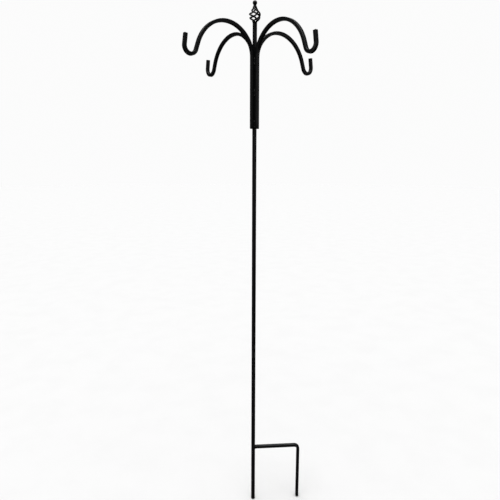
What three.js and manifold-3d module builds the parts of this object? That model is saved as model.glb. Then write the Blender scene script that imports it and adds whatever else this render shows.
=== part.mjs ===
// A four-arm garden feeder pole: a square steel pole with four hooked arms welded round its
// upper end, a twisted basket finial on top and an L-shaped step prong near its foot.
// Millimetres, +Z up. The origin is on the pole's axis, at the pole's foot.
import * as THREE from "three";
import { mergeVertices } from "three/addons/utils/BufferGeometryUtils.js";
import Module from "manifold-3d";

// Bar stock and clearances
const BAR = 12.7; // side of the square bar
const EDGE = 1; // chamfer along the bar's four long edges
const GAP = 0.3; // clearance between pieces that touch
const LATHE_STEPS = 24; // facets round a turned piece
const MERGE_DISTANCE = 1e-4; // vertices nearer than this are one

// Overall heights
const TOTAL_HEIGHT = 2133.6;
const STEM_TOP = 2052; // top of the pole, under the finial

// Hook arms
const ARM_COUNT = 4;
const SHANK_FOOT = 1663; // lower end of the straight shanks
const BEND_START = 1930; // where the arms leave the pole
const ARM_AXIS = BAR + GAP; // from the pole's axis to a shank's axis
const HOOK_RADIUS = 24; // bend of the hook, on the bar's centreline
const SEAT_TURN = 16; // turn across the flat seat at the bottom of the hook
const ARM_RUNS = [
  { run: BEND_START - SHANK_FOOT },
  { radius: 94, turn: 35, steps: 7 },
  { radius: 126, turn: 71, steps: 13 },
  { radius: 140, turn: 54, steps: 10 },
  { run: 29 },
  { radius: HOOK_RADIUS, turn: -62, steps: 6 },
  { radius: HOOK_RADIUS, turn: -SEAT_TURN, steps: 1 },
  { radius: HOOK_RADIUS, turn: -90, steps: 9 },
  { run: 38 },
];

// Step prong
const PRONG_AZIMUTH = -35.5; // degrees from +X
const PRONG_REACH = 205; // from the pole's axis to the leg's axis
const PRONG_HEIGHT = 265; // axis of the horizontal bar
const PRONG_FOOT = 4; // lower end of the leg
const PRONG_BEND = 16;
const PRONG_START = 5.5; // where the bar's coped end begins, from the pole's axis
const COPE_REACH = 4 * BAR; // how far the coping solids reach past the joint
const PRONG_RUNS = [
  { run: PRONG_REACH - PRONG_BEND - PRONG_START },
  { radius: PRONG_BEND, turn: 90, steps: 10 },
  { run: PRONG_HEIGHT - PRONG_BEND - PRONG_FOOT },
];

// Finial, from the stem's top to the ball
const WIRE_COUNT = 4;
const WIRE_RADIUS = 3.2;
const WIRE_SIDES = 8;
const WIRE_STEPS = 40;
const BASKET_FOOT = 2056;
const BASKET_TOP = 2107.5;
const BASKET_RADIUS = 20.4; // widest, on the wires' centrelines
const BASKET_END_RADIUS = 5.5; // at both ends, on the wires' centrelines
const BASKET_TWIST = THREE.MathUtils.degToRad(294);
const BASKET_FIRST_WIRE = THREE.MathUtils.degToRad(38);
const SWELL_SKEW = 0.87; // under 1 puts the widest point below the middle
const SWELL_POWER = 1.38; // over 1 draws the ends in
const END_OVERRUN = 0.04; // part of the basket's height that is trimmed off each wire's ends
const COLLAR_RADIUS = 9;
const COLLAR_CHAMFER = 1;
const TOP_COLLAR_RADIUS = 8.6;
const TOP_COLLAR_HEIGHT = 3.2;
const NECK_RADIUS = 6.4;
const BALL_RADIUS = 8.7;
const BALL_FLAT_RADIUS = 5.2; // where the ball is welded to the neck
const BALL_STEPS = 12;

// Weld beads
const STITCH_LEG = 4.5;
const STITCH_LENGTH = 28;
const STITCH_ROUNDING = 0.8;
const STITCH_STEPS = 6; // facets across the bead's rounded face
const STITCH_CENTRES = { top: 1914, middle: 1797, bottom: 1680 };
const PRONG_BEAD_RADIUS = 6.6;
const PRONG_BEAD_STRETCH = [1, 1.15, 0.75]; // along the bar, across it and upwards
const PRONG_BEAD_CENTRE = 0.72 * BAR; // from the pole's axis

const wasm = await Module();
wasm.setup();

const BLACK_COAT = { color: 0x0e0f11, roughness: 0.45, metalness: 0.55 };
const WELD_COAT = { color: 0x131417, roughness: 0.55, metalness: 0.5 };

/** A named mesh with a material of its own. */
function piece(name, geometry, finish = BLACK_COAT) {
  const mesh = new THREE.Mesh(geometry, new THREE.MeshStandardMaterial(finish));
  mesh.name = name;
  return mesh;
}

/** A closed geometry as a manifold solid. */
function toSolid(geometry) {
  const bare = geometry.clone();
  bare.deleteAttribute("normal");
  bare.deleteAttribute("uv");
  const merged = mergeVertices(bare, MERGE_DISTANCE);
  const mesh = new wasm.Mesh({
    numProp: 3,
    vertProperties: new Float32Array(merged.attributes.position.array),
    triVerts: new Uint32Array(merged.index.array),
  });
  return new wasm.Manifold(mesh);
}

/** A manifold solid as a geometry. */
function toGeometry(solid) {
  const { vertProperties, triVerts } = solid.getMesh();
  const geometry = new THREE.BufferGeometry();
  geometry.setAttribute("position", new THREE.BufferAttribute(vertProperties, 3));
  geometry.setIndex(new THREE.BufferAttribute(triVerts, 1));
  geometry.computeVertexNormals();
  return geometry;
}

/** An upright square bar with chamfered edges, centred on the Z axis. */
function uprightBar(side, bottom, top) {
  const half = side / 2;
  const flat = half - EDGE;
  const corners = [
    [flat, -half],
    [half, -flat],
    [half, flat],
    [flat, half],
    [-flat, half],
    [-half, flat],
    [-half, -flat],
    [-flat, -half],
  ];
  const section = new THREE.Shape(corners.map(([x, y]) => new THREE.Vector2(x, y)));
  const bar = new THREE.ExtrudeGeometry(section, { depth: top - bottom, bevelEnabled: false });
  return bar.translate(0, 0, bottom);
}

/**
 * One side of a bent bar: the points of its centreline moved sideways by offset, to the right
 * of the way it runs. heading is in degrees from the vertical, and a positive turn goes right.
 */
function bentSide(start, heading, runs, offset) {
  const centre = new THREE.Vector2(...start);
  let angle = THREE.MathUtils.degToRad(heading);
  const ahead = () => new THREE.Vector2(Math.sin(angle), Math.cos(angle));
  const right = () => new THREE.Vector2(Math.cos(angle), -Math.sin(angle));
  const points = [centre.clone().addScaledVector(right(), offset)];
  for (const { run, radius, turn, steps } of runs) {
    if (run) {
      centre.addScaledVector(ahead(), run);
      points.push(centre.clone().addScaledVector(right(), offset));
      continue;
    }
    const reach = radius * Math.sign(turn);
    const pivot = centre.clone().addScaledVector(right(), reach);
    const step = THREE.MathUtils.degToRad(turn) / steps;
    for (let i = 0; i < steps; i += 1) {
      angle += step;
      points.push(pivot.clone().addScaledVector(right(), offset - reach));
    }
    centre.copy(pivot).addScaledVector(right(), -reach);
  }
  return points;
}

/** A square bar bent in the XZ plane, with the long edges chamfered. */
function bentBar(start, heading, runs) {
  const half = BAR / 2;
  const leftSide = bentSide(start, heading, runs, -half);
  const rightSide = bentSide(start, heading, runs, half);
  const outline = new THREE.Shape([...rightSide, ...leftSide.reverse()]);
  const bar = new THREE.ExtrudeGeometry(outline, {
    depth: BAR - 2 * EDGE,
    bevelThickness: EDGE,
    bevelSize: EDGE,
    bevelOffset: -EDGE,
    bevelSegments: 1,
  });
  return bar.rotateX(Math.PI / 2).translate(0, half - EDGE, 0);
}

/** One basket wire: a left-hand spiral that swells out between the two collars. */
class BasketWire extends THREE.Curve {
  constructor(startAngle) {
    super();
    this.startAngle = startAngle;
  }

  getPoint(t, target = new THREE.Vector3()) {
    const along = -END_OVERRUN + t * (1 + 2 * END_OVERRUN);
    const inside = THREE.MathUtils.clamp(along, 0, 1);
    const swell = Math.sin(Math.PI * inside ** SWELL_SKEW) ** SWELL_POWER;
    const radius = BASKET_END_RADIUS + (BASKET_RADIUS - BASKET_END_RADIUS) * swell;
    const angle = this.startAngle - BASKET_TWIST * along;
    const height = THREE.MathUtils.lerp(BASKET_FOOT, BASKET_TOP, along);
    return target.set(radius * Math.cos(angle), radius * Math.sin(angle), height);
  }
}

/** A wire of the basket, with both ends cut level. */
function basketWire(startAngle) {
  const section = new THREE.Shape();
  section.absarc(0, 0, WIRE_RADIUS, 0, 2 * Math.PI);
  const rope = new THREE.ExtrudeGeometry(section, {
    extrudePath: new BasketWire(startAngle),
    steps: WIRE_STEPS,
    curveSegments: WIRE_SIDES / 2,
  });
  const height = BASKET_TOP - BASKET_FOOT;
  const slab = new THREE.BoxGeometry(4 * BASKET_RADIUS, 4 * BASKET_RADIUS, height);
  slab.translate(0, 0, BASKET_FOOT + height / 2);
  return toGeometry(toSolid(rope).intersect(toSolid(slab)));
}

/** A turned piece from its [radius, height] profile, which starts and ends on the axis. */
function turned(profile) {
  const points = profile.map(([radius, height]) => new THREE.Vector2(radius, height));
  return new THREE.LatheGeometry(points, LATHE_STEPS).rotateX(Math.PI / 2);
}

/** The ball: round, with a small flat where it meets the neck. */
function ball() {
  const centre = TOTAL_HEIGHT - BALL_RADIUS;
  const flatAngle = Math.asin(BALL_FLAT_RADIUS / BALL_RADIUS);
  const profile = [[0, centre - BALL_RADIUS * Math.cos(flatAngle)]];
  for (let i = 0; i <= BALL_STEPS; i += 1) {
    const angle = flatAngle + ((Math.PI - flatAngle) * i) / BALL_STEPS;
    const radius = i === BALL_STEPS ? 0 : BALL_RADIUS * Math.sin(angle);
    profile.push([radius, centre - BALL_RADIUS * Math.cos(angle)]);
  }
  return turned(profile);
}

/** A stitch weld: a quarter-round bead that fills the corner between two shanks. */
function stitchWeld(centreHeight) {
  const points = [new THREE.Vector2(0, 0)];
  for (let i = 0; i <= STITCH_STEPS; i += 1) {
    const angle = (i * Math.PI) / 2 / STITCH_STEPS;
    points.push(new THREE.Vector2(Math.cos(angle), Math.sin(angle)).multiplyScalar(STITCH_LEG));
  }
  const bead = new THREE.ExtrudeGeometry(new THREE.Shape(points), {
    depth: STITCH_LENGTH - 2 * STITCH_ROUNDING,
    bevelThickness: STITCH_ROUNDING,
    bevelSize: STITCH_ROUNDING,
    bevelOffset: -STITCH_ROUNDING,
    bevelSegments: 1,
  });
  const corner = BAR / 2 + GAP;
  return bead.translate(corner, corner, centreHeight - STITCH_LENGTH / 2 + STITCH_ROUNDING);
}

/** A bead on the prong's joint: a ball of weld cut back to the pole and the bar. */
function prongBead(height, cutters) {
  const blob = new THREE.SphereGeometry(PRONG_BEAD_RADIUS, 16, 12);
  blob.scale(...PRONG_BEAD_STRETCH).translate(PRONG_BEAD_CENTRE, 0, height);
  return toGeometry(cutters.reduce((bead, cutter) => bead.subtract(cutter), toSolid(blob)));
}

/** A bar that is thicker than the real one by the clearance on every side. */
function withClearance(bottom, top) {
  return uprightBar(BAR + 2 * GAP, bottom, top);
}

const feederPole = new THREE.Group();
feederPole.add(piece("centre_pole", uprightBar(BAR, 0, STEM_TOP)));

// The four arms and the stitch welds in the corners between their shanks
for (let i = 0; i < ARM_COUNT; i += 1) {
  const quarter = new THREE.Group();
  quarter.rotation.z = (i * 2 * Math.PI) / ARM_COUNT;
  quarter.add(piece(`hook_arm_${i + 1}`, bentBar([ARM_AXIS, SHANK_FOOT], 0, ARM_RUNS)));
  for (const [place, height] of Object.entries(STITCH_CENTRES)) {
    quarter.add(piece(`shank_weld_${place}_${i + 1}`, stitchWeld(height), WELD_COAT));
  }
  feederPole.add(quarter);
}

// The finial: two collars, the basket between them, the neck and the ball
const ballFlat = TOTAL_HEIGHT - BALL_RADIUS - Math.sqrt(BALL_RADIUS ** 2 - BALL_FLAT_RADIUS ** 2);
const neckFoot = BASKET_TOP + TOP_COLLAR_HEIGHT + 2 * GAP;
feederPole.add(
  piece("basket_base_collar", turned([
    [0, STEM_TOP + GAP],
    [COLLAR_RADIUS, STEM_TOP + GAP],
    [COLLAR_RADIUS, BASKET_FOOT - GAP - COLLAR_CHAMFER],
    [COLLAR_RADIUS - COLLAR_CHAMFER, BASKET_FOOT - GAP],
    [0, BASKET_FOOT - GAP],
  ])),
  piece("basket_top_collar", turned([
    [0, BASKET_TOP + GAP],
    [TOP_COLLAR_RADIUS, BASKET_TOP + GAP],
    [NECK_RADIUS, BASKET_TOP + GAP + TOP_COLLAR_HEIGHT],
    [0, BASKET_TOP + GAP + TOP_COLLAR_HEIGHT],
  ])),
  piece("finial_neck", turned([
    [0, neckFoot],
    [NECK_RADIUS, neckFoot],
    [BALL_FLAT_RADIUS, ballFlat - GAP],
    [0, ballFlat - GAP],
  ])),
  piece("finial_ball", ball()),
);
for (let i = 0; i < WIRE_COUNT; i += 1) {
  const startAngle = BASKET_FIRST_WIRE + (i * 2 * Math.PI) / WIRE_COUNT;
  feederPole.add(piece(`basket_wire_${i + 1}`, basketWire(startAngle)));
}

// The step prong, coped to the pole's corner, and its two beads
const prong = new THREE.Group();
prong.rotation.z = THREE.MathUtils.degToRad(PRONG_AZIMUTH);
const besidePole = withClearance(PRONG_HEIGHT - COPE_REACH, PRONG_HEIGHT + COPE_REACH);
besidePole.rotateZ(-prong.rotation.z);
const poleCutter = toSolid(besidePole);
const prongBar = toSolid(bentBar([PRONG_START, PRONG_HEIGHT], 90, PRONG_RUNS)).subtract(poleCutter);
const besideBar = new THREE.BoxGeometry(COPE_REACH, BAR + 2 * GAP, BAR + 2 * GAP);
besideBar.translate(PRONG_START + COPE_REACH / 2, 0, PRONG_HEIGHT);
const cutters = [poleCutter, toSolid(besideBar)];
prong.add(
  piece("step_prong", toGeometry(prongBar)),
  piece("prong_weld_top", prongBead(PRONG_HEIGHT + BAR / 2, cutters), WELD_COAT),
  piece("prong_weld_under", prongBead(PRONG_HEIGHT - BAR / 2, cutters), WELD_COAT),
);
feederPole.add(prong);

export default feederPole;
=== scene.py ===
"""Visual model of a garden feeder pole: a square pole, four hooked arms, a basket finial and a step prong.

Everything is in metres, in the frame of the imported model: +Z runs up the pole, hook_arm_1 points along
+X, and the origin is on the pole's axis at its foot.
"""

from __future__ import annotations

import logging
import math
from abc import ABC, abstractmethod
from collections.abc import Iterable, Mapping, Sequence
from dataclasses import dataclass, field
from enum import Enum
from itertools import pairwise
from typing import Any

import bmesh
import bpy
from mathutils import Matrix, Vector


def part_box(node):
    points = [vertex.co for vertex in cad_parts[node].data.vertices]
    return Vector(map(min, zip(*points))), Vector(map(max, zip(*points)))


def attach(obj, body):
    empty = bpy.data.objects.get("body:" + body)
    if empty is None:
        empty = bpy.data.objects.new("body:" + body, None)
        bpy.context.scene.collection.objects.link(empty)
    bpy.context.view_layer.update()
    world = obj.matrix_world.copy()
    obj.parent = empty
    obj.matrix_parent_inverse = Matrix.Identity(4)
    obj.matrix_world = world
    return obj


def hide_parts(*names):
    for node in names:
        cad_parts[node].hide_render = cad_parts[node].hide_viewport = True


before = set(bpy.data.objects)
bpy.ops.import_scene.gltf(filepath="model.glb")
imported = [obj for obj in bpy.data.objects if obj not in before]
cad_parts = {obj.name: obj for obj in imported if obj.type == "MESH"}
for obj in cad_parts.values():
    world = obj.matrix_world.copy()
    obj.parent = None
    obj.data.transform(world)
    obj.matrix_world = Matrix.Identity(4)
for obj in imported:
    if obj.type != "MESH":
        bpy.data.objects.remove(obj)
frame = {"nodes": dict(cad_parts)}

LOG = logging.getLogger("feeder_pole")
MM = 0.001
MERGE_DISTANCE = 0.001 * MM
RIM_STEPS = 3
BAR_SHARP = 40.0  # degrees that an edge turns by before it is shaded sharp
BEAD_SHARP = 75.0
UP = Vector((0, 0, 1))
Colour = tuple[float, float, float, float]
Tint = Colour | bpy.types.NodeSocket
Triple = tuple[float, float, float]
Band = tuple[float, float]
Edges = list[bmesh.types.BMEdge]


def grey(level: float, blue: float = 0.0) -> Colour:
    """A grey of a given linear level, with a little more in its blue."""
    return (level, level * (1 + blue / 3), level * (1 + blue), 1.0)


# --- Shader graphs ---------------------------------------------------------------------------------


class Value:
    """A number in a shader graph, on which Python arithmetic adds Math nodes."""

    def __init__(self, graph: Graph, socket: bpy.types.NodeSocket) -> None:
        """Wraps one output socket of a graph."""
        self.graph = graph
        self.socket = socket

    def _math(self, operation: str, first: Value | float, second: Value | float = 0.0) -> Value:
        """Adds one Math node on two inputs."""
        node = self.graph.add("ShaderNodeMath", {"operation": operation}, {0: first, 1: second})
        return Value(self.graph, node.outputs[0])

    def __add__(self, other: Value | float) -> Value:
        """This value plus another."""
        return self._math("ADD", self, other)

    __radd__ = __add__

    def __sub__(self, other: Value | float) -> Value:
        """This value less another."""
        return self._math("SUBTRACT", self, other)

    def __rsub__(self, other: Value | float) -> Value:
        """Another value less this one."""
        return self._math("SUBTRACT", other, self)

    def __mul__(self, other: Value | float) -> Value:
        """This value times another."""
        return self._math("MULTIPLY", self, other)

    __rmul__ = __mul__

    def __pow__(self, power: Value | float) -> Value:
        """This value to a power."""
        return self._math("POWER", self, power)

    def above(self, floor: float) -> Value:
        """The larger of this value and a number."""
        return self._math("MAXIMUM", self, floor)

    def ramp(self, low: float, high: float) -> Value:
        """This value mapped so that low gives 0 and high gives 1, eased at both ends.

        Args:
            low: The value that gives 0.
            high: The value that gives 1.

        Returns:
            The eased value, clamped to 0 and 1.
        """
        settings = {"interpolation_type": "SMOOTHSTEP"}
        inputs = {"Value": self, "From Min": low, "From Max": high}
        return Value(self.graph, self.graph.add("ShaderNodeMapRange", settings, inputs).outputs[0])


class Graph:
    """A material's or the world's node tree, built node by node."""

    def __init__(self, tree: bpy.types.NodeTree) -> None:
        """Empties the tree."""
        self.tree = tree
        tree.nodes.clear()

    def add(
        self,
        kind: str,
        settings: Mapping[str, Any] | None = None,
        inputs: Mapping[str | int, Any] | None = None,
    ) -> bpy.types.Node:
        """Adds a node.

        Args:
            kind: The node's type, such as ShaderNodeTexNoise.
            settings: Its properties, set before its sockets.
            inputs: A value, a Value or a socket for each input, by name or index.

        Returns:
            The new node.
        """
        node = self.tree.nodes.new(kind)
        for name, value in (settings or {}).items():
            setattr(node, name, value)
        for key, value in (inputs or {}).items():
            source = value.socket if isinstance(value, Value) else value
            if isinstance(source, bpy.types.NodeSocket):
                self.tree.links.new(source, node.inputs[key])
            else:
                node.inputs[key].default_value = source
        return node

    def place(self) -> bpy.types.NodeSocket:
        """Where a point of the surface is, in the piece's own metres."""
        return self.add("ShaderNodeTexCoord").outputs["Object"]

    def noise(self, size: float, detail: float = 2.0, squeeze: Triple | None = None) -> Value:
        """A noise pattern.

        Args:
            size: The width of one blotch, in metres.
            detail: The number of finer layers on top.
            squeeze: How far to squeeze the pattern along each axis, if at all. Under 1 draws it out.

        Returns:
            The noise, around 0.5.
        """
        where = self.place()
        if squeeze is not None:
            where = self.add("ShaderNodeMapping", inputs={"Vector": where, "Scale": squeeze}).outputs[0]
        inputs = {"Vector": where, "Scale": 1 / size, "Detail": detail}
        return Value(self, self.add("ShaderNodeTexNoise", inputs=inputs).outputs[0])

    def facing_up(self) -> Value:
        """How far the surface faces up.

        Returns:
            1 on a surface that faces straight up, 0 on one that is upright or faces down.
        """
        normal = self.add("ShaderNodeNewGeometry").outputs["Normal"]
        parts = self.add("ShaderNodeSeparateXYZ", inputs={0: normal})
        return Value(self, parts.outputs["Z"]).above(0.0)

    def attribute(self, name: str) -> Value:
        """A number that the piece's mesh holds."""
        node = self.add("ShaderNodeAttribute", {"attribute_name": name})
        return Value(self, node.outputs["Fac"])

    def blend(self, amount: Value, first: Tint, second: Tint) -> bpy.types.NodeSocket:
        """A mix of two colours.

        Args:
            amount: 0 gives the first colour, 1 the second.
            first: A colour or a socket.
            second: A colour or a socket.

        Returns:
            The mixed colour's socket.
        """
        settings = {"data_type": "RGBA"}
        return self.add("ShaderNodeMix", settings, {"Factor": amount, "A": first, "B": second}).outputs[2]

    def bump(self, height: Value, depth: float) -> bpy.types.NodeSocket:
        """A normal that shows a height.

        Args:
            height: The surface's height, from 0 to 1.
            depth: What a height of 1 stands for, in metres.

        Returns:
            The normal's socket.
        """
        inputs = {"Strength": 1.0, "Distance": depth, "Height": height}
        return self.add("ShaderNodeBump", inputs=inputs).outputs[0]


# --- Finishes --------------------------------------------------------------------------------------


class Finish(ABC):
    """A material that knows how to make itself, once."""

    name: str

    @abstractmethod
    def wire(self, graph: Graph) -> dict[str, Any]:
        """The inputs of the surface's Principled shader."""

    def material(self) -> bpy.types.Material:
        """The finish as a material, made the first time it is asked for.

        Returns:
            The material.
        """
        made = bpy.data.materials.get(self.name)
        if made is not None:
            return made
        made = bpy.data.materials.new(self.name)
        made.use_nodes = True
        graph = Graph(made.node_tree)
        surface = graph.add("ShaderNodeBsdfPrincipled", inputs=self.wire(graph))
        graph.add("ShaderNodeOutputMaterial", inputs={"Surface": surface.outputs[0]})
        return made


@dataclass(frozen=True)
class PowderCoat(Finish):
    """Satin powder coat: orange peel, faint mottling, a painted highlight that lightens the bar's edges in
    patches, dusty on top.

    Sizes and depths are in metres. A band is the part of a noise, around 0.5, over which a mark fades in.
    """

    name: str = "satin_black_coat"
    colour: Colour = grey(0.0045, 0.2)
    fleck_colour: Colour = grey(0.009)
    # The lighter tone of the painted highlight along the bar's rounded edges.
    edge_highlight_colour: Colour = grey(0.012, 0.15)
    dust_colour: Colour = grey(0.055, 0.12)
    roughness: float = 0.36
    mottling: float = 0.18
    cloud_size: float = 45 * MM
    peel_size: float = 2.2 * MM
    peel_depth: float = 0.08 * MM
    grit_size: float = 0.5 * MM
    grit_share: float = 0.25
    grit_fleck: float = 0.35
    grit_band: Band = (0.45, 0.7)
    streak_size: float = 9 * MM
    streak_squeeze: Triple = (1.0, 1.0, 0.12)
    streak_fleck: float = 0.25
    streak_band: Band = (0.5, 0.8)
    # Where along the streaks the painted edge highlight fades in.
    edge_highlight_band: Band = (0.3, 0.7)
    dust: float = 0.35
    dust_band: Band = (0.35, 0.75)
    dust_roughness: float = 0.3
    shine: float = 0.35
    # Whether the finish paints the highlight along the bar's rounded edges.
    has_edge_highlight: bool = True

    def wire(self, graph: Graph) -> dict[str, Any]:
        """The coat's colour, roughness and relief.

        Args:
            graph: The material's nodes.

        Returns:
            The Principled shader's inputs by name.
        """
        peel = graph.noise(self.peel_size, 1.0)
        grit = graph.noise(self.grit_size, 2.0)
        clouds = graph.noise(self.cloud_size, 3.0)
        streaks = graph.noise(self.streak_size, 2.0, self.streak_squeeze)
        dust = graph.facing_up() ** 2 * clouds.ramp(*self.dust_band) * self.dust
        specks = grit.ramp(*self.grit_band) * self.grit_fleck
        stripes = streaks.ramp(*self.streak_band) * self.streak_fleck
        tone = graph.blend(specks + stripes, self.colour, self.fleck_colour)
        # Painted highlight: the rounded edges are lightened in patches, standing in for the sheen that light
        # puts on them.
        if self.has_edge_highlight:
            painted_edge_highlight = graph.attribute("edge") ** 2 * streaks.ramp(*self.edge_highlight_band)
            tone = graph.blend(painted_edge_highlight, tone, self.edge_highlight_colour)
        height = peel * (1 - self.grit_share) + grit * self.grit_share
        smoothest = self.roughness - self.mottling / 2
        return {
            "Base Color": graph.blend(dust, tone, self.dust_colour),
            "Roughness": clouds * self.mottling + dust * self.dust_roughness + smoothest,
            "Specular IOR Level": self.shine,
            "Normal": graph.bump(height, self.peel_depth),
        }


@dataclass(frozen=True)
class WeldCoat(PowderCoat):
    """The same coat over a weld bead: rougher, with specks of spatter under it."""

    name: str = "coated_weld_bead"
    roughness: float = 0.5
    peel_depth: float = 0.06 * MM
    dust: float = 0.1
    shine: float = 0.22
    spatter_size: float = 1.1 * MM
    spatter_depth: float = 0.16 * MM
    spatter_band: Band = (0.6, 0.78)
    has_edge_highlight: bool = False

    def wire(self, graph: Graph) -> dict[str, Any]:
        """The coat with the spatter's bumps under it.

        Args:
            graph: The material's nodes.

        Returns:
            The Principled shader's inputs by name.
        """
        inputs = super().wire(graph)
        specks = graph.noise(self.spatter_size, 0.0).ramp(*self.spatter_band)
        lumps = graph.bump(specks, self.spatter_depth)
        peel = inputs["Normal"].node
        graph.tree.links.new(lumps, peel.inputs["Normal"])
        return inputs


@dataclass(frozen=True)
class StudioFloor(Finish):
    """A pale matt floor with a faint grain."""

    name: str = "pale_floor"
    colour: Colour = grey(0.80)
    shade: Colour = grey(0.785)
    grain_size: float = 220 * MM
    grain_band: Band = (0.35, 0.75)
    roughness: float = 0.75
    unevenness: float = 0.1

    def wire(self, graph: Graph) -> dict[str, Any]:
        """The floor's colour and roughness.

        Args:
            graph: The material's nodes.

        Returns:
            The Principled shader's inputs by name.
        """
        grain = graph.noise(self.grain_size, 3.0)
        return {
            "Base Color": graph.blend(grain.ramp(*self.grain_band), self.colour, self.shade),
            "Roughness": grain * self.unevenness + self.roughness,
            "Specular IOR Level": 0.0,
        }


# --- Sections and sweeps ---------------------------------------------------------------------------


class Section(ABC):
    """A closed outline that a bar, a wire or a bead is swept from."""

    @abstractmethod
    def draw(self, bm: bmesh.types.BMesh) -> Edges:
        """Draws the outline in the XY plane and returns its edges."""

    @staticmethod
    def outline(bm: bmesh.types.BMesh) -> Edges:
        """Drops every face and keeps the outline."""
        bmesh.ops.delete(bm, geom=list(bm.faces), context="FACES_ONLY")
        return list(bm.edges)


@dataclass(frozen=True)
class SquareSection(Section):
    """A square bar with rounded long edges. Its mesh attribute "edge" is 1 on those edges."""

    side: float
    edge_radius: float = 1.0 * MM
    edge_steps: int = 3
    flat_cuts: int = 4

    def draw(self, bm: bmesh.types.BMesh) -> Edges:
        """Draws a rounded square with a few more points along each flat.

        Args:
            bm: An empty mesh.

        Returns:
            The outline's edges.
        """
        edge = bm.verts.layers.float.new("edge")
        bmesh.ops.create_grid(bm, x_segments=1, y_segments=1, size=self.side / 2)
        bmesh.ops.bevel(
            bm,
            geom=list(bm.verts),
            offset=self.edge_radius,
            segments=self.edge_steps,
            profile=0.5,
            affect="VERTICES",
            material=-1,
        )
        for vert in bm.verts:
            vert[edge] = 1.0
        flats = [e for e in bm.edges if e.calc_length() > self.side / 2]
        added = bmesh.ops.subdivide_edges(bm, edges=flats, cuts=self.flat_cuts)
        for element in added["geom_inner"]:
            if isinstance(element, bmesh.types.BMVert):
                element[edge] = 0.0
        return self.outline(bm)


@dataclass(frozen=True)
class RoundSection(Section):
    """A round wire or bead."""

    radius: float
    sides: int = 14

    def draw(self, bm: bmesh.types.BMesh) -> Edges:
        """A circle."""
        bmesh.ops.create_circle(bm, segments=self.sides, radius=self.radius, cap_ends=False)
        return list(bm.edges)


@dataclass(frozen=True)
class Station:
    """One place on a sweep: the section's frame there, its stretch, and how far a bend squeezes it."""

    frame: Matrix
    stretch: float = 1.0
    squeeze: float = 0.0

    def matrix(self) -> Matrix:
        """The frame with the stretch in it."""
        return self.frame @ Matrix.Diagonal((self.stretch, self.stretch, 1, 1))


def standing(origin: Vector, ahead: Vector, right: Vector) -> Matrix:
    """The frame of a section.

    Args:
        origin: Where its centre is.
        ahead: The way that the sweep runs there.
        right: The way that its first axis points, as near as ahead allows.

    Returns:
        A matrix from the section's own axes to the object's.
    """
    along = ahead.normalized()
    across = along.cross(right).normalized()
    frame_matrix = Matrix((across.cross(along), across, along)).transposed().to_4x4()
    frame_matrix.translation = origin
    return frame_matrix


def sweep(section: Section, stations: Sequence[Station], end_radius: float = 0.0) -> bmesh.types.BMesh:
    """Sweeps a section along its stations and closes both ends.

    Args:
        section: The outline.
        stations: The places that it passes through, in order.
        end_radius: How far the rim of each end is rounded.

    Returns:
        A closed mesh.
    """
    bm = bmesh.new()
    ring = section.draw(bm)
    rims = [ring]
    bmesh.ops.transform(bm, matrix=stations[0].matrix(), verts=list(bm.verts))
    for before, after in pairwise(stations):
        grown = bmesh.ops.extrude_edge_only(bm, edges=ring)["geom"]
        verts = [g for g in grown if isinstance(g, bmesh.types.BMVert)]
        fresh = set(verts)
        ring = [e for v in verts for e in v.link_edges if set(e.verts) <= fresh]
        ring = list(dict.fromkeys(ring))
        bmesh.ops.transform(bm, matrix=after.matrix() @ before.matrix().inverted(), verts=verts)
        squeeze_ring(bm, verts, before, after)
    rims.append(ring)
    for rim in rims:
        cap = bmesh.ops.contextual_create(bm, geom=rim)["faces"]
        bmesh.ops.recalc_face_normals(bm, faces=list(bm.faces))
        if end_radius:
            round_rim(bm, cap, end_radius)
    return bm


def squeeze_ring(
    bm: bmesh.types.BMesh, verts: Sequence[bmesh.types.BMVert], before: Station, after: Station
) -> None:
    """Widens a ring on the inside of its bend and narrows it on the outside.

    Args:
        bm: The mesh.
        verts: The ring, which still has the last station's squeeze.
        before: The last station.
        after: The ring's own station.
    """
    if before.squeeze == after.squeeze:
        return
    to_section = after.frame.inverted()
    for side in (1, -1):
        half = [v for v in verts if side * (to_section @ v.co).x > 0]
        width = (1 + side * after.squeeze) / (1 + side * before.squeeze)
        bmesh.ops.scale(bm, vec=(1, width, 1), space=to_section, verts=half)


def round_rim(bm: bmesh.types.BMesh, cap: Sequence[bmesh.types.BMFace], radius: float) -> None:
    """Rounds the rim of an end face."""
    rim = [e for face in cap for e in face.edges]
    bmesh.ops.bevel(
        bm,
        geom=rim,
        offset=radius,
        segments=RIM_STEPS,
        profile=0.5,
        affect="EDGES",
        material=-1,
        clamp_overlap=True,
    )


def turn(profile: Iterable[tuple[float, float]], steps: int = 48) -> bmesh.types.BMesh:
    """Turns a profile round the Z axis.

    Args:
        profile: Radius and height of each point, from the axis back to the axis.
        steps: The number of facets round.

    Returns:
        A closed mesh.
    """
    bm = bmesh.new()
    verts = [bm.verts.new((radius, 0, height)) for radius, height in profile]
    edges = [bm.edges.new(pair) for pair in pairwise(verts)]
    bmesh.ops.spin(
        bm, geom=verts + edges, cent=(0, 0, 0), axis=(0, 0, 1), angle=2 * math.pi, steps=steps, use_merge=True
    )
    bmesh.ops.remove_doubles(bm, verts=list(bm.verts), dist=MERGE_DISTANCE)
    bmesh.ops.recalc_face_normals(bm, faces=list(bm.faces))
    return bm


def dressed(bm: bmesh.types.BMesh, name: str, finish: Finish, sharp: float = BAR_SHARP) -> bpy.types.Object:
    """Makes a mesh a smooth-shaded object with a finish.

    Args:
        bm: The mesh, which is freed.
        name: The object's name.
        finish: Its finish.
        sharp: Edges that turn by more than this many degrees stay sharp.

    Returns:
        The object, in the scene.
    """
    mesh = bpy.data.meshes.new(name)
    bm.to_mesh(mesh)
    bm.free()
    mesh.shade_smooth()
    mesh.set_sharp_from_angle(angle=math.radians(sharp))
    mesh.materials.append(finish.material())
    piece = bpy.data.objects.new(name, mesh)
    bpy.context.scene.collection.objects.link(piece)
    return piece


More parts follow.
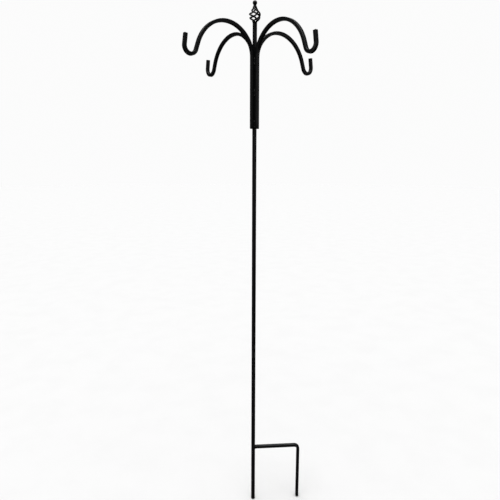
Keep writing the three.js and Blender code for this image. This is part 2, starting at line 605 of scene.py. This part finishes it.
def settle(piece: bpy.types.Object, node: str) -> bpy.types.Object:
    """Puts a piece on the frame in place of a CAD node.

    Args:
        piece: The finished piece.
        node: The CAD node that it stands for.

    Returns:
        The piece.
    """
    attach(piece, "root")
    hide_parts(node)
    LOG.info("%s stands for %s: %d faces", piece.name, node, len(piece.data.polygons))
    return piece


# --- Bent bars -------------------------------------------------------------------------------------


@dataclass(frozen=True)
class Straight:
    """A straight run of a bar."""

    length: float
    rings: int = 1


@dataclass(frozen=True)
class Bend:
    """A bend of a bar. A positive turn, in degrees, goes to the right of the way that the bar runs."""

    radius: float
    turn: float
    rings: int


@dataclass(frozen=True)
class BentBar:
    """A square bar bent in one upright plane through the Z axis.

    start is the distance from the axis and the height where the bar begins, heading is in degrees from
    straight up, and azimuth turns the plane about Z. squash is how far a bend widens the bar's inner
    side, as a part of the strain there, and ease is the part of a bend over which that comes and goes.
    """

    section: SquareSection
    start: tuple[float, float]
    heading: float
    runs: Sequence[Straight | Bend]
    azimuth: float = 0.0
    squash: float = 0.38
    ease: float = 0.2

    def station(self, reach: float, height: float, heading: float, squeeze: float) -> Station:
        """The section's place at one point of the bar.

        Args:
            reach: How far the point is from the Z axis.
            height: How high it is.
            heading: The way that the bar runs there, in radians from straight up.
            squeeze: How far the bend squeezes the section.

        Returns:
            The place.
        """
        outward = Vector((math.cos(self.azimuth), math.sin(self.azimuth), 0))
        ahead = outward * math.sin(heading) + UP * math.cos(heading)
        right = outward * math.cos(heading) - UP * math.sin(heading)
        return Station(standing(outward * reach + UP * height, ahead, right), squeeze=squeeze)

    def stations(self) -> list[Station]:
        """Every place that the section passes through, with the squeeze of each bend eased in and out.

        Returns:
            The places, from the bar's start to its end.
        """
        reach, height = self.start
        heading = math.radians(self.heading)
        stations = [self.station(reach, height, heading, 0.0)]
        for run in self.runs:
            if isinstance(run, Straight):
                for _ in range(run.rings):
                    reach += run.length / run.rings * math.sin(heading)
                    height += run.length / run.rings * math.cos(heading)
                    stations.append(self.station(reach, height, heading, 0.0))
                continue
            full = self.squash * self.section.side / 2 / run.radius * math.copysign(1, run.turn)
            step = math.radians(run.turn) / run.rings
            chord = 2 * run.radius * math.sin(abs(step) / 2)
            for i in range(run.rings):
                reach += chord * math.sin(heading + step / 2)
                height += chord * math.cos(heading + step / 2)
                heading += step
                to_end = min(i + 1, run.rings - 1 - i) / run.rings
                eased = math.sin(math.pi / 2 * min(1.0, to_end / self.ease))
                stations.append(self.station(reach, height, heading, full * eased))
        return stations

    def build(self, name: str, finish: Finish, end_radius: float = 0.6 * MM) -> bpy.types.Object:
        """The bar as a dressed piece."""
        return dressed(sweep(self.section, self.stations(), end_radius), name, finish)


# --- Welds -----------------------------------------------------------------------------------------


@dataclass(frozen=True)
class RippledBead:
    """A weld bead laid along a path, with a ripple for each dab of the torch and rounded ends.

    lean tilts the rings, in radians, so that the bead's crest trails its sides and the ripples show as
    crescents, and lean_ease is how far from each end, in radii, the full tilt is reached. depth and
    unevenness are parts of the radius. Each wave of the uneven width has its radians a ripple and its
    phase. tip, in radii, starts the rounding before each end, so that the ends are blunt. ripple_power
    and end_power shape each ripple's slope and the rounding of the ends.
    """

    path: Sequence[Vector]
    right: Vector
    radius: float
    lean: float = 0.0
    lean_ease: float = 1.6
    pitch: float = 2.6 * MM
    depth: float = 0.06
    unevenness: float = 0.05
    waves: tuple[tuple[float, float], ...] = ((2.1, 0.0), (0.9, 1.0))
    tip: float = 0.12
    ripple_power: float = 1.5
    end_power: float = 0.6
    rings_per_ripple: int = 5
    fewest_rings: int = 8
    sides: int = 16

    def stations(self) -> list[Station]:
        """Cuts the path to even steps, with the ripples and the round ends in each ring's stretch.

        Returns:
            The rings' places, from the path's start to its end.
        """
        lengths = [(b - a).length for a, b in pairwise(self.path)]
        total = sum(lengths)
        count = max(self.fewest_rings, round(total / self.pitch * self.rings_per_ripple))
        stations = []
        for i in range(count + 1):
            along = total * i / count
            origin, ahead = self.point(along, lengths)
            to_end = min(along, total - along) / self.radius
            lean = Matrix.Rotation(self.lean * min(1.0, to_end / self.lean_ease), 4, "Y")
            rounding = math.sin(math.pi / 2 * min(1.0, to_end + self.tip)) ** self.end_power
            stations.append(Station(standing(origin, ahead, self.right) @ lean, self.width(along) * rounding))
        return stations

    def width(self, along: float) -> float:
        """How wide the bead is, its round ends aside.

        Args:
            along: A distance along the path.

        Returns:
            The width there, as a part of the full width.
        """
        ripples = along / self.pitch
        ripple = 1 - self.depth * (ripples % 1.0) ** self.ripple_power
        waves = sum(math.sin(rate * ripples + phase) for rate, phase in self.waves)
        return ripple * (1 + self.unevenness * waves / len(self.waves))

    def point(self, along: float, lengths: Sequence[float]) -> tuple[Vector, Vector]:
        """Finds a point of the path.

        Args:
            along: A distance along the path.
            lengths: The lengths of the path's legs.

        Returns:
            The point there, and the way that its leg runs.
        """
        for (a, b), length in zip(pairwise(self.path), lengths):
            if along <= length:
                return a.lerp(b, along / length), b - a
            along -= length
        return self.path[-1].copy(), self.path[-1] - self.path[-2]

    def build(self, name: str, finish: Finish) -> bpy.types.Object:
        """The bead as a dressed piece."""
        bm = sweep(RoundSection(self.radius, self.sides), self.stations())
        return dressed(bm, name, finish, sharp=BEAD_SHARP)


@dataclass(frozen=True)
class WeldRing:
    """A ring of weld round the Z axis: a bulging rim between two domed faces, a little uneven round.

    lumps gives the number of swellings round the ring and how far each set stands out, as a part of
    the radius.
    """

    radius: float
    face_radius: float
    foot: float
    top: float
    dome: float = 0.8 * MM
    steps: int = 84
    rim_steps: int = 14
    lumps: tuple[tuple[int, float], ...] = ((13, 0.022), (5, 0.018))

    def build(self, name: str, finish: Finish) -> bpy.types.Object:
        """Turns the ring, makes it uneven and dresses it.

        Args:
            name: The piece's name.
            finish: Its finish.

        Returns:
            The piece.
        """
        middle = (self.foot + self.top) / 2
        half = (self.top - self.foot) / 2
        bulge = self.radius - self.face_radius
        angles = [math.pi * (i / self.rim_steps - 0.5) for i in range(self.rim_steps + 1)]
        rim = [(self.face_radius + bulge * math.cos(a), middle + half * math.sin(a)) for a in angles]
        bm = turn([(0.0, self.foot - self.dome), *rim, (0.0, self.top + self.dome)], self.steps)
        for vert in bm.verts:
            angle = math.atan2(vert.co.y, vert.co.x)
            vert.co.xy *= 1 + sum(size * math.cos(count * angle + count) for count, size in self.lumps)
        return dressed(bm, name, finish, sharp=BEAD_SHARP)


# --- The object's sub-assemblies -------------------------------------------------------------------


@dataclass
class Stock:
    """What the bars share: their size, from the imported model, and their finishes."""

    coat: Finish = PowderCoat()
    # The small parts' coat has no painted edge highlight.
    small_coat: Finish = PowderCoat(name="satin_black_small_parts", has_edge_highlight=False)
    weld_coat: Finish = WeldCoat()
    side: float = field(init=False)
    height: float = field(init=False)

    def __post_init__(self) -> None:
        """Reads the bar's side and the pole's height."""
        low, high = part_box("centre_pole")
        self.side = high.x - low.x
        self.height = high.z

    def section(self) -> SquareSection:
        """The bar's section."""
        return SquareSection(self.side)


@dataclass
class Pole:
    """The square bar from the foot to the finial."""

    stock: Stock
    rings: int = 40

    def build(self) -> None:
        """Builds and settles the pole."""
        bar = BentBar(self.stock.section(), (0.0, 0.0), 0.0, [Straight(self.stock.height, self.rings)])
        settle(bar.build("square_pole_bar", self.stock.coat, 1.0 * MM), "centre_pole")


class StitchPlace(Enum):
    """Where along the shanks a stitch weld is."""

    TOP = "top"
    MIDDLE = "middle"
    BOTTOM = "bottom"


@dataclass
class HookArms:
    """The four arms that stand round the pole, and the stitch welds in the corners between them.

    seam is the gap between a shank and the pole. bead_sink is how far inside the pole's two faces a
    stitch weld's axis lies, and bead_lean tilts its ripples.
    """

    stock: Stock
    count: int = 4
    seam: float = 0.1 * MM
    bend_start: float = 1930 * MM
    hook_radius: float = 24 * MM
    bead_radius: float = 5.2 * MM
    bead_sink: float = 0.7 * MM
    bead_lean: float = math.radians(35)

    def runs(self, shank_foot: float) -> list[Straight | Bend]:
        """The arm's runs and bends.

        Args:
            shank_foot: The height of the arm's lower end.

        Returns:
            The runs and bends, from the lower end to the tip.
        """
        return [
            Straight(self.bend_start - shank_foot, 12),
            Bend(94 * MM, 35, 15),
            Bend(126 * MM, 71, 30),
            Bend(140 * MM, 54, 24),
            Straight(29 * MM, 3),
            Bend(self.hook_radius, -168, 56),
            Straight(38 * MM, 4),
        ]

    def build(self) -> None:
        """Builds and settles each arm and its corner's welds."""
        for i in range(self.count):
            azimuth = 2 * math.pi * i / self.count
            self.build_arm(i + 1, azimuth)
            for place in StitchPlace:
                self.build_stitch(f"shank_weld_{place.value}_{i + 1}", azimuth)

    def build_arm(self, number: int, azimuth: float) -> None:
        """Builds one arm.

        Args:
            number: The arm's number, from 1.
            azimuth: The way that it points.
        """
        node = f"hook_arm_{number}"
        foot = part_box(node)[0].z
        start = (self.stock.side + self.seam, foot)
        bar = BentBar(self.stock.section(), start, 0.0, self.runs(foot), azimuth)
        settle(bar.build(f"arm_bar_{number}", self.stock.coat), node)

    def build_stitch(self, node: str, azimuth: float) -> None:
        """Builds one stitch weld where its CAD solid stands.

        Args:
            node: The CAD node.
            azimuth: The azimuth of the arm on its left, as seen from outside.
        """
        low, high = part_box(node)
        corner = self.stock.side / 2 - self.bead_sink
        diagonal = Vector((corner, corner, 0))
        diagonal.rotate(Matrix.Rotation(azimuth, 3, "Z"))
        path = [diagonal + UP * low.z, diagonal + UP * high.z]
        bead = RippledBead(path, diagonal, self.bead_radius, self.bead_lean)
        name = node.replace("shank_weld", "stitch_bead")
        settle(bead.build(name, self.stock.weld_coat), node)


@dataclass
class StepProng:
    """The L-shaped bar near the foot, and the beads that hold it.

    azimuth is the way that the bar points, reach is from the pole's axis to the leg's, and start is
    where the bar begins, inside the pole's corner. bead_lift leans the beads' rings out from that
    corner, as a part of their height.
    """

    stock: Stock
    azimuth: float = math.radians(-35.5)
    reach: float = 205 * MM
    bend_radius: float = 16 * MM
    start: float = 5.0 * MM
    bead_radius: float = 3.6 * MM
    bead_lift: float = 0.42

    def build(self) -> None:
        """Builds and settles the prong and its two beads."""
        low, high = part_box("step_prong")
        height = high.z - self.stock.side / 2
        runs = [
            Straight(self.reach - self.bend_radius - self.start, 6),
            Bend(self.bend_radius, 90, 30),
            Straight(height - self.bend_radius - low.z, 8),
        ]
        bar = BentBar(self.stock.section(), (self.start, height), 90.0, runs, self.azimuth)
        settle(bar.build("step_bar", self.stock.coat), "step_prong")
        for node, side in (("prong_weld_top", 1), ("prong_weld_under", -1)):
            self.build_bead(node, height, side)

    def build_bead(self, node: str, height: float, side: int) -> None:
        """Lays a bead over or under the joint, round the pole's corner and halfway down the bar's sides.

        Args:
            node: The CAD node that the bead stands for.
            height: The height of the bar's axis.
            side: 1 over the bar, -1 under it.
        """
        half = self.stock.side / 2
        across_x = -math.sin(self.azimuth)
        across_y = math.cos(self.azimuth)
        corner = Vector((half, -half, 0))
        left = Vector((half, half * (1 - across_x) / across_y, 0))
        right = Vector((-half * (1 - across_y) / across_x, -half, 0))
        middle = UP * height
        edge = UP * (height + side * half)
        path = [left + middle, left + edge, corner + edge, right + edge, right + middle]
        outward = UP * side + corner.normalized() * self.bead_lift
        bead = RippledBead(path, outward, self.bead_radius)
        settle(bead.build(node.replace("weld", "bead"), self.stock.weld_coat), node)


@dataclass
class BasketFinial:
    """The twisted wire basket on the pole's top, with its collars, neck and ball.

    The wires run in left-hand spirals between end_radius at both ends and widest between them. A skew
    under 1 puts the widest point below the middle, and a power over 1 draws the ends in. foot_face and
    head_face are how wide the rings of weld are at their faces, as a part of their full width. A ring
    is spread towards the wires, and it and the neck overlap what they are welded to.
    """

    stock: Stock
    wires: int = 4
    wire_radius: float = 3.2 * MM
    widest: float = 20.4 * MM
    end_radius: float = 5.5 * MM
    twist: float = math.radians(294)
    first: float = math.radians(38)
    skew: float = 0.87
    power: float = 1.38
    tuck: float = 1.6 * MM
    steps: int = 110
    foot_face: float = 0.8
    head_face: float = 0.72
    overlap: float = 0.5 * MM
    spread: float = 0.7 * MM
    neck_waist: float = 0.9
    neck_power: float = 1.5
    neck_steps: int = 14
    wire_sides: int = 18
    ball_segments: int = 48
    ball_rings: int = 32

    def build(self) -> None:
        """Builds and settles every piece of the finial."""
        for i in range(self.wires):
            self.build_wire(i)
        self.build_base_ring()
        self.build_top_ring()
        self.build_neck()
        self.build_ball()

    def wire_point(self, along: float, start: float, foot: float, top: float) -> Vector:
        """A point on a wire's axis.

        Args:
            along: 0 at the basket's foot, 1 at its top, and a little past both where the wire is tucked in.
            start: The wire's angle at the foot.
            foot: The height of the basket's foot.
            top: The height of the basket's top.

        Returns:
            The point.
        """
        inside = min(1.0, max(0.0, along))
        swell = math.sin(math.pi * inside**self.skew) ** self.power
        radius = self.end_radius + (self.widest - self.end_radius) * swell
        angle = start - self.twist * along
        return Vector((radius * math.cos(angle), radius * math.sin(angle), foot + (top - foot) * along))

    def build_wire(self, index: int) -> None:
        """Builds one wire.

        Args:
            index: The wire's number, from 0.
        """
        node = f"basket_wire_{index + 1}"
        low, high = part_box(node)
        start = self.first + 2 * math.pi * index / self.wires
        spare = self.tuck / (high.z - low.z)
        places = [-spare + (1 + 2 * spare) * i / self.steps for i in range(self.steps + 1)]
        points = [self.wire_point(t, start, low.z, high.z) for t in places]
        stations = []
        for i, point in enumerate(points):
            ahead = points[min(i + 1, self.steps)] - points[max(i - 1, 0)]
            outward = Vector((point.x, point.y, 0))
            stations.append(Station(standing(point, ahead, outward)))
        bm = sweep(RoundSection(self.wire_radius, self.wire_sides), stations)
        settle(dressed(bm, f"twisted_wire_{index + 1}", self.stock.small_coat), node)

    def build_base_ring(self) -> None:
        """Builds the ring of weld that joins the wires to the pole, bulging round its middle."""
        low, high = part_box("basket_base_collar")
        ring = WeldRing(high.x, high.x * self.foot_face, low.z - self.overlap, high.z + self.spread)
        piece = ring.build("basket_foot_weld", self.stock.weld_coat)
        settle(piece, "basket_base_collar")

    def build_top_ring(self) -> None:
        """Builds the ring of weld that gathers the wires under the neck."""
        low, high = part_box("basket_top_collar")
        ring = WeldRing(high.x, high.x * self.head_face, low.z - self.spread, high.z + self.overlap)
        piece = ring.build("basket_head_weld", self.stock.weld_coat)
        settle(piece, "basket_top_collar")

    def build_neck(self) -> None:
        """Builds the neck, drawn in towards the ball, with both ends sunk in what they are welded to."""
        low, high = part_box("finial_neck")
        foot = low.z - self.overlap
        height = high.z + 3 * self.overlap - foot
        sides = []
        for i in range(self.neck_steps + 1):
            along = i / self.neck_steps
            drawn = 1 - (1 - self.neck_waist) * math.sin(math.pi / 2 * along) ** self.neck_power
            sides.append((high.x * drawn, foot + height * along))
        profile = [(0.0, foot), *sides, (0.0, foot + height)]
        settle(dressed(turn(profile), "drawn_neck", self.stock.small_coat), "finial_neck")

    def build_ball(self) -> None:
        """Builds the ball, cut flat where it is welded on."""
        low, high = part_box("finial_ball")
        radius = (high.x - low.x) / 2
        bm = bmesh.new()
        bmesh.ops.create_uvsphere(
            bm, u_segments=self.ball_segments, v_segments=self.ball_rings, radius=radius
        )
        bmesh.ops.translate(bm, vec=UP * (high.z - radius), verts=list(bm.verts))
        cut = bmesh.ops.bisect_plane(
            bm, geom=[*bm.verts, *bm.edges, *bm.faces], plane_co=UP * low.z, plane_no=-UP, clear_outer=True
        )
        rim = [g for g in cut["geom_cut"] if isinstance(g, bmesh.types.BMEdge)]
        bmesh.ops.contextual_create(bm, geom=rim)
        bmesh.ops.recalc_face_normals(bm, faces=list(bm.faces))
        settle(dressed(bm, "finial_ball_knob", self.stock.small_coat), "finial_ball")


# --- The studio ------------------------------------------------------------------------------------


@dataclass(frozen=True)
class Softbox:
    """A square area light that faces the object's middle."""

    name: str
    place: Triple
    size: float
    power: float
    target: Triple = (0.0, 0.0, 1.2)

    def build(self, unlit: bpy.types.Collection) -> None:
        """Hangs the light.

        Args:
            unlit: What the light leaves alone.
        """
        light = bpy.data.lights.new(self.name, "AREA")
        light.size = self.size
        light.energy = self.power
        lamp = bpy.data.objects.new(self.name, light)
        lamp.location = self.place
        lamp.rotation_euler = (Vector(self.target) - Vector(self.place)).to_track_quat("-Z", "Y").to_euler()
        lamp.light_linking.receiver_collection = unlit
        bpy.context.scene.collection.objects.link(lamp)


@dataclass(frozen=True)
class Ceiling:
    """A wide even light overhead, like a diffused skylight."""

    strength: float = 3.78
    spread: float = math.radians(70)
    lean: tuple[float, float] = (math.radians(6), math.radians(-8))

    def build(self) -> None:
        """Hangs the light."""
        light = bpy.data.lights.new("ceiling", "SUN")
        light.energy = self.strength
        light.angle = self.spread
        lamp = bpy.data.objects.new("ceiling", light)
        lamp.rotation_euler = (*self.lean, 0)
        bpy.context.scene.collection.objects.link(lamp)


@dataclass
class Studio:
    """The floor, the lights and the camera.

    The camera stands between hook_arm_3 and hook_arm_4, at a person's eye height. Its angles are in
    degrees: azimuth is 0 where it looks along +Y, pitch is down, yaw is to the right, and roll leans
    the pole's head to the right.
    """

    azimuth: float = -40.43
    distance: float = 1.8995
    eye_height: float = 1.5367
    pitch: float = 10.84
    yaw: float = -0.52
    roll: float = 0.134
    lens: float = 33.415
    floor_radius: float = 30.0
    backdrop: float = 0.97
    ambient: float = 0.04

    def build(self) -> None:
        """Builds the whole studio."""
        self.build_camera()
        floor = self.build_floor()
        self.build_world()
        self.build_lights(floor)

    def build_camera(self) -> None:
        """Sets up the camera and makes it the scene's."""
        data = bpy.data.cameras.new("camera")
        data.sensor_width = 36.0
        data.lens = self.lens
        camera = bpy.data.objects.new("camera", data)
        turn_to = math.radians(self.azimuth)
        camera.location = (
            self.distance * math.sin(turn_to),
            -self.distance * math.cos(turn_to),
            self.eye_height,
        )
        camera.rotation_euler = (
            math.radians(90 - self.pitch),
            -math.radians(self.roll),
            turn_to - math.radians(self.yaw),
        )
        bpy.context.scene.collection.objects.link(camera)
        bpy.context.scene.camera = camera

    def build_floor(self) -> bpy.types.Object:
        """Lays a round floor that is far larger than the view.

        Returns:
            The floor.
        """
        bm = bmesh.new()
        bmesh.ops.create_circle(bm, segments=96, radius=self.floor_radius, cap_ends=True)
        floor = dressed(bm, "floor", StudioFloor())
        floor.visible_glossy = False
        floor.visible_diffuse = False
        return floor

    def build_world(self) -> None:
        """Lights the room with a dim even glow behind a white backdrop."""
        world = bpy.data.worlds.new("studio")
        world.use_nodes = True
        bpy.context.scene.world = world
        graph = Graph(world.node_tree)
        glow = graph.add("ShaderNodeBackground", inputs={"Color": grey(1.0), "Strength": self.ambient})
        white = graph.add("ShaderNodeBackground", inputs={"Color": grey(1.0), "Strength": self.backdrop})
        seen = graph.add("ShaderNodeLightPath").outputs["Is Camera Ray"]
        both = graph.add("ShaderNodeMixShader", inputs={0: seen, 1: glow.outputs[0], 2: white.outputs[0]})
        graph.add("ShaderNodeOutputWorld", inputs={"Surface": both.outputs[0]})
        bpy.context.scene.view_settings.view_transform = "Standard"

    def build_lights(self, floor: bpy.types.Object) -> None:
        """Hangs the lights. Only the ceiling lights the floor, so its tone is even out to the horizon.

        Args:
            floor: The floor.
        """
        unlit = bpy.data.collections.new("not_lit_by_softboxes")
        unlit.objects.link(floor)
        unlit.collection_objects[0].light_linking.link_state = "EXCLUDE"
        Ceiling().build()
        Softbox("left_softbox", place=(-3.2, 0.6, 2.4), size=1.6, power=10.0).build(unlit)
        Softbox("right_softbox", place=(2.4, -2.6, 2.2), size=1.6, power=4.0).build(unlit)
        Softbox("back_softbox", place=(1.8, 2.6, 2.6), size=1.8, power=8.0).build(unlit)


def main() -> None:
    """Builds the studio, then each sub-assembly."""
    logging.basicConfig(level=logging.INFO, format="%(name)s: %(message)s")
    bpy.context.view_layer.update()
    Studio().build()
    stock = Stock()
    for assembly in (Pole(stock), HookArms(stock), StepProng(stock), BasketFinial(stock)):
        assembly.build()
        LOG.info("%s is built", type(assembly).__name__)


if __name__ == "__main__":
    main()
